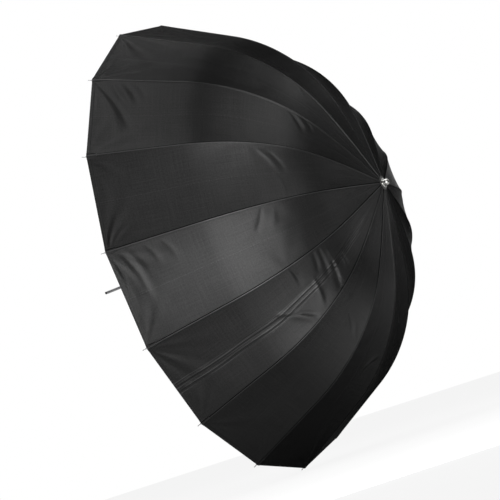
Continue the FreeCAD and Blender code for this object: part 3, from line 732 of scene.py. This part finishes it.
def make_half_gore(arm, side):
    """One half gore as a thin closed sheet, black outside and silver inside.

    Past the middle line a narrow lap tucks under the other half. It is widest at the crown,
    where the two halves would part as the ribs fold.
    """
    creased = (arm if side < 0 else (arm - 1) % ARMS) == CREASED_GORE
    columns = np.append(np.linspace(0.0, 1.0, 73 if creased else 31), (1.0, 1.0))
    along, share = np.meshgrid(ALONG, columns, indexing="ij")
    half = gore_half(ALONG)
    near_crown = np.clip(1.0 - ALONG / LAP_LENGTH, 0.0, 1.0)
    reach = LAP * np.maximum(near_crown, 0.04) / half
    share[:, -2] += 0.1 * reach
    share[:, -1] += reach
    depth = LAP_DEPTH * np.clip(4.0 * near_crown, 0.04, 1.0)
    tucked = np.where(share > 1.0, depth[:, None], 0.0)
    hem = np.clip((along - (ROD_LENGTH - HEM)) / 1.5, 0.0, 1.0)
    outer, across = cloth_points(arm, side, along, share, CLOTH_THICKNESS + 0.25 * hem - tucked)
    inner, _ = cloth_points(arm, side, along, share, -0.25 * hem - tucked)
    uv = np.stack([across, along / 1000.0], axis=-1)
    name = f"canopy_half_{arm + 1:02d}_{'next' if side < 0 else 'back'}"
    made = shell(outer, inner, uv, name, side < 0, crease=-3)
    made.data.materials.append(creased_cloth if creased else black_cloth)
    made.data.materials.append(silver_cloth)
    body = f"rib_{arm + 1:02d}"
    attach(made, body)
    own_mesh(made)
    steps = np.linalg.norm(np.diff(outer, axis=0), axis=-1)
    widths = np.linalg.norm(np.diff(outer, axis=1), axis=-1)
    return made, float((steps[:, :-1] * widths[:-1]).sum())


for arm in range(ARMS):
    for side in (-1, 1):
        make_half_gore(arm, side)
    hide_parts(f"canopy_gore_{arm + 1:02d}")

# Seams: the two gores' edges are folded into each other over the rib and stitched down, which
# leaves a narrow raised band of doubled cloth along every rib, on the side of the black face.


def band_points(arm, along, away, lift):
    """Points beside a seam: away is the distance from it in mm, negative towards the arm
    before, and the band lies on the two gores like a low roof, lift above the cloth."""
    half = gore_half(along)
    share = np.clip(np.abs(away) / half, 0.0, 1.0)
    back, _ = cloth_points(arm, 1, along, share, lift)
    following, _ = cloth_points(arm, -1, along, share, lift)
    towards_next = (away > 0.0)[..., None]
    middle = (away == 0.0)[..., None]
    spots = np.where(towards_next, following, back)
    return np.where(middle, (following + back) / 2, spots)


def make_band(name, arm, start, end, half_width, height, rows, columns=11):
    """A band of cloth along a seam. It is highest in the middle and tucks in at its edges."""
    run = np.linspace(start, end, rows)
    place = np.linspace(-1.0, 1.0, columns)
    along, place = np.meshgrid(run, place, indexing="ij")
    width = half_width(along) if callable(half_width) else half_width
    away = place * width
    crown = (1.0 - place**4) ** 0.5
    outer = band_points(arm, along, away, CLOTH_THICKNESS - 0.1 + height * crown)
    inner = band_points(arm, along, away * 0.98, -0.15)
    uv = np.stack([away / 1000.0, along / 1000.0], axis=-1)
    made = shell(outer, inner, uv, name, True)
    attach(made, f"rib_{arm + 1:02d}")
    return made


# The seams' dark line 2.1 mm to one side is painted shade, and their lighter middle a painted
# highlight.
seam_cloth = black_satin("seam_cloth", -0.0021)
for arm in range(ARMS):
    seam = make_band(
        f"seam_{arm + 1:02d}", arm, -2.0, ROD_LENGTH - 1.0, 3.4, 1.0, 180, columns=15
    )
    seam.data.materials.append(seam_cloth)
    seam.data.materials.append(seam_cloth)

# Corner pockets: a doubled patch of the same cloth sewn over each corner, which the rib's tip
# is pushed into. It is wider at the rim than at its inner end.


def pocket_width(along):
    """Half the patch's width: 5 mm at its inner end and 10 mm at the rim."""
    return 5.0 + 5.0 * np.clip((along - (ROD_LENGTH - 26.0)) / 26.0, 0.0, 1.0)


# The pockets' dark line 4.5 mm to one side is painted shade, and their lighter middle a painted
# highlight.
pocket_cloth = black_satin("pocket_cloth", -0.0045)
for arm in range(ARMS):
    pocket = make_band(
        f"corner_pocket_{arm + 1:02d}",
        arm,
        ROD_LENGTH - 26.0,
        ROD_LENGTH - 0.2,
        pocket_width,
        1.3,
        16,
    )
    pocket.data.materials.append(pocket_cloth)
    pocket.data.materials.append(pocket_cloth)

# Washer: a black rosette of doubled cloth. The sixteen seams under it gather it, and the
# finial presses it down on the shaft.


def turned_points(profile, around, ruffle=None):
    """Turns a profile of (x, r) pairs in mm about the shaft; ruffle may change r with angle."""
    profile = np.array(profile)
    angle = np.arange(around) * (2 * math.pi / around)
    x = np.repeat(profile[:, :1], around, axis=1)
    r = np.repeat(profile[:, 1:], around, axis=1)
    if ruffle is not None:
        x, r = ruffle(x, r, angle[None, :])
    return np.stack([x, -r * np.sin(angle), r * np.cos(angle)], axis=-1) / 1000.0


def turned(name, profile, around=96, ruffle=None):
    """A closed turned piece: rings of quads, the last point of each ring joined to the first."""
    points = turned_points(profile, around, ruffle)
    rings = len(profile)
    row, column = np.meshgrid(np.arange(rings), np.arange(around), indexing="ij")
    here = (row * around + column).ravel()
    beside = (row * around + (column + 1) % around).ravel()
    next_row = (row + 1) % rings
    above = (next_row * around + column).ravel()
    across = (next_row * around + (column + 1) % around).ravel()
    return add_mesh(name, points, np.stack([here, above, across, beside], axis=1))


def gathers(x, r, angle):
    """Sixteen soft gathers: a wave round the shaft moves the edge in and out, and up and
    down with it. It fades to nothing 12.5 mm from the axis."""
    outwards = np.clip((r - 12.5) / 7.0, 0.0, 1.0)
    wave = np.cos(ARMS * angle)
    return x + 0.45 * outwards * wave, r * (1.0 + 0.07 * outwards * wave)


WASHER_AT = 736.2
washer = turned(
    "canopy_rosette",
    [
        (WASHER_AT, 4.1),
        (WASHER_AT + 0.1, 10.0),
        (WASHER_AT, 13.0),
        (WASHER_AT - 0.2, 16.0),
        (WASHER_AT - 0.5, 18.6),
        (WASHER_AT - 0.3, 19.2),
        (WASHER_AT + 0.3, 18.8),
        (WASHER_AT + 0.8, 16.0),
        (WASHER_AT + 1.3, 13.0),
        (WASHER_AT + 1.4, 10.0),
        (WASHER_AT + 1.4, 4.1),
    ],
    256,
    gathers,
)
rosette_cloth = moulded(
    "rosette_cloth", (0.012, 0.012, 0.011), (0.03, 0.03, 0.027), (0.6, 0.5), 900.0
)
washer.data.materials.append(rosette_cloth)
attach(washer, "shaft")
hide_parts("canopy_washer")

# Finial: a bright chromed cap nut, screwed on the shaft's end to clamp the canopy. It has a
# rolled flange, a waist and a domed end with a small open hole.
SEAT = CROWN_AT + 7.2 + 1.4
finial = turned(
    "finial_cap",
    [
        (SEAT, 4.05),
        (SEAT, 12.2),
        (SEAT + 0.3, 12.8),
        (SEAT + 0.9, 13.0),
        (SEAT + 1.5, 12.8),
        (SEAT + 1.9, 12.2),
        (SEAT + 2.1, 11.0),
        (SEAT + 2.2, 9.6),
        (SEAT + 2.5, 9.0),
        (SEAT + 3.1, 8.8),
        (SEAT + 6.4, 8.8),
        (SEAT + 8.6, 8.7),
        (SEAT + 10.4, 8.3),
        (SEAT + 11.9, 7.5),
        (SEAT + 12.9, 6.5),
        (SEAT + 13.3, 5.6),
        (SEAT + 13.3, 5.0),
        (SEAT + 12.9, 4.5),
        (SEAT + 12.2, 4.3),
        (SEAT + 9.2, 4.3),
        (SEAT + 9.1, 4.05),
    ],
    128,
)
finial_chrome, tree, shader = new_material("finial_chrome", Metallic=1.0)
along, radius = place_on_shaft(tree)
# The inside of the end hole and the groove behind the flange are painted dark: painted shade in
# these recesses.
in_hole = span(tree, radius, 0.0046, 0.005, 1.0, 0.0)
from_groove = math_node(tree, "SUBTRACT", along, (SEAT + 2.6) / 1000)
in_groove = span(tree, math_node(tree, "ABSOLUTE", from_groove), 0.0004, 0.0009, 1.0, 0.0)
painted_recess_shade = math_node(tree, "MAXIMUM", in_hole, in_groove)
grain = place_group(tree, metal_grain, Along=500.0, Across=500.0, Blotch=300.0)
plated = mix_colours(tree, grain.outputs["Patch"], (0.50, 0.50, 0.48), (0.66, 0.66, 0.63))
plated = mix_colours(tree, painted_recess_shade, plated, (0.03, 0.03, 0.028))
tree.links.new(plated, shader.inputs["Base Color"])
rough = span(tree, grain.outputs["Patch"], 0.3, 0.7, 0.08, 0.2)
tree.links.new(rough, shader.inputs["Roughness"])
finial.data.materials.append(finial_chrome)
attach(finial, "shaft")
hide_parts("finial")

# Studio: a plain pale floor that the lowest rib tip touches, a white surround, and eight soft
# boxes: a row of three low ones from the side to the crown, one low on the far side, and four
# above. Mirror-like rays meet a dim room in front and the white surround behind.
floor_height = cad_box[0][2]
floor_points = np.array([(-40, -40, 0), (40, -40, 0), (40, 40, 0), (-40, 40, 0)], dtype=float)
floor_points[:, 2] = floor_height
floor = add_mesh("floor", floor_points, np.array([(0, 1, 2, 3)]), smooth=False)
floor_material, tree, shader = new_material("pale_floor", Roughness=0.9, Specular_IOR_Level=0.1)
spot = add_node(tree, "ShaderNodeTexCoord")
faint = add_node(tree, "ShaderNodeTexNoise", in_Scale=3.0, in_Detail=3.0)
tree.links.new(spot.outputs["Object"], faint.inputs["Vector"])
share = span(tree, faint.outputs["Fac"], 0.3, 0.7, 0.0, 1.0)
pale = mix_colours(tree, share, (0.86, 0.86, 0.86), (0.88, 0.88, 0.88))
tree.links.new(pale, shader.inputs["Base Color"])
glow = add_node(tree, "ShaderNodeEmission", in_Strength=1.0)
seen = add_node(tree, "ShaderNodeLightPath")
both = add_node(tree, "ShaderNodeMixShader")
whitened = math_node(tree, "MULTIPLY", seen.outputs["Is Camera Ray"], 0.88)
mirrored = math_node(tree, "MULTIPLY", seen.outputs["Is Glossy Ray"], 0.2)
whitened = math_node(tree, "MAXIMUM", whitened, mirrored)
whitened = math_node(tree, "MAXIMUM", whitened, seen.outputs["Is Transmission Ray"])
tree.links.new(whitened, both.inputs[0])
tree.links.new(shader.outputs[0], both.inputs[1])
tree.links.new(glow.outputs[0], both.inputs[2])
tree.links.new(both.outputs[0], tree.nodes["Material Output"].inputs[0])
floor.data.materials.append(floor_material)

world = bpy.data.worlds.new("white_surround")
scene.world = world
world.use_nodes = True
tree = world.node_tree
background = tree.nodes["Background"]
background.inputs["Color"].default_value = (1.0, 1.0, 1.0, 1.0)
seen = add_node(tree, "ShaderNodeLightPath")
outward = add_node(tree, "ShaderNodeTexCoord")
behind = add_node(tree, "ShaderNodeVectorMath", operation="DOT_PRODUCT")
behind.inputs[1].default_value = (-0.45, 0.89, 0.0)
tree.links.new(outward.outputs["Generated"], behind.inputs[0])
backdrop = span(tree, behind.outputs["Value"], -0.2, 0.3, 0.13, 1.0, smooth=True)
level = math_node(tree, "MULTIPLY", seen.outputs["Is Glossy Ray"], backdrop)
level = math_node(tree, "MAXIMUM", level, seen.outputs["Is Camera Ray"])
level = math_node(tree, "MAXIMUM", level, seen.outputs["Is Transmission Ray"])
fill = math_node(tree, "MULTIPLY", seen.outputs["Is Diffuse Ray"], 0.2)
tree.links.new(math_node(tree, "MAXIMUM", level, fill), background.inputs["Strength"])


def soft_box(name, place, size, power):
    """A square lamp at that place, in metres, that faces the middle of the bowl."""
    data = bpy.data.lights.new(name, "AREA")
    data.shape = "SQUARE"
    data.size = size
    data.energy = power
    lamp = bpy.data.objects.new(name, data)
    lamp.location = place
    away = np.array(place) - np.array((0.45, 0.0, 0.0))
    flat = math.hypot(away[0], away[1])
    lamp.rotation_euler = (math.atan2(flat, away[2]), 0.0, math.atan2(away[0], -away[1]))
    lamp.visible_camera = False
    scene.collection.objects.link(lamp)


soft_box("box_low_side", (1.53, -1.88, -0.38), 0.6, 17.0)
soft_box("box_low_middle", (2.01, -1.51, -0.38), 0.6, 17.0)
soft_box("box_low_front", (2.36, -1.02, -0.38), 0.6, 12.0)
soft_box("box_crown", (2.18, 0.12, 1.35), 0.6, 7.0)
soft_box("box_far_side", (2.26, 1.25, -0.2), 0.4, 5.0)
soft_box("box_side", (0.76, -1.25, 1.78), 0.6, 6.0)
soft_box("box_over_crown", (1.71, -0.27, 1.78), 0.6, 4.0)
soft_box("box_top", (0.40, -0.15, 2.19), 0.6, 10.5)

scene.view_settings.view_transform = "Standard"
